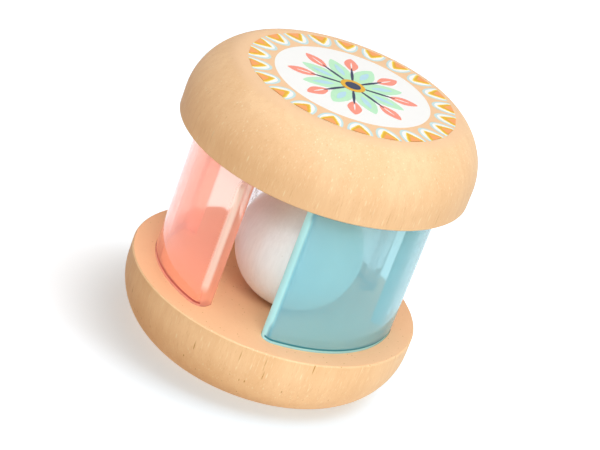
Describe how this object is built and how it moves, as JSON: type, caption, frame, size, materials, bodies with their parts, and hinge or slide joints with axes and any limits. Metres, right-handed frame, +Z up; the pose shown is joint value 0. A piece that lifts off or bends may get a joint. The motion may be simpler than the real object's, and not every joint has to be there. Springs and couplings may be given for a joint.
{
  "type": "rolling cage rattle",
  "caption": "Baby rattle of turned wooden caps joined by clear tinted curved panels, with a loose ball that rolls and knocks inside the open cage.",
  "frame": {"origin": "centre of the lower cap's flat resting face", "axes": "+Z up along the axis of the caps; -Y out of the window between the coral and the blue panel; +X to the right of that window"},
  "size_m": [0.085, 0.085, 0.086],
  "materials": {
    "beech": "satin, fine flecked grain",
    "coral_clear": "clear coral, glossy",
    "blue_clear": "clear sky blue, glossy, slightly milky",
    "rear_clear": "clear, nearly colourless, glossy",
    "ball_paint": "off-white paint, silk sheen"
  },
  "bodies": {
    "cage": {"bottom_cap": "beech", "top_cap": "beech", "coral_panel": "coral_clear", "blue_panel": "blue_clear", "rear_panel": "rear_clear"},
    "rolling_ball": {"ball": "ball_paint"}
  },
  "joints": [
    {"name": "ball_run", "type": "hinge", "parent": "cage", "child": "rolling_ball", "pos_m": [0, 0, 0.03945], "axis": [0, 0, 1], "continuous": true}
  ]
}
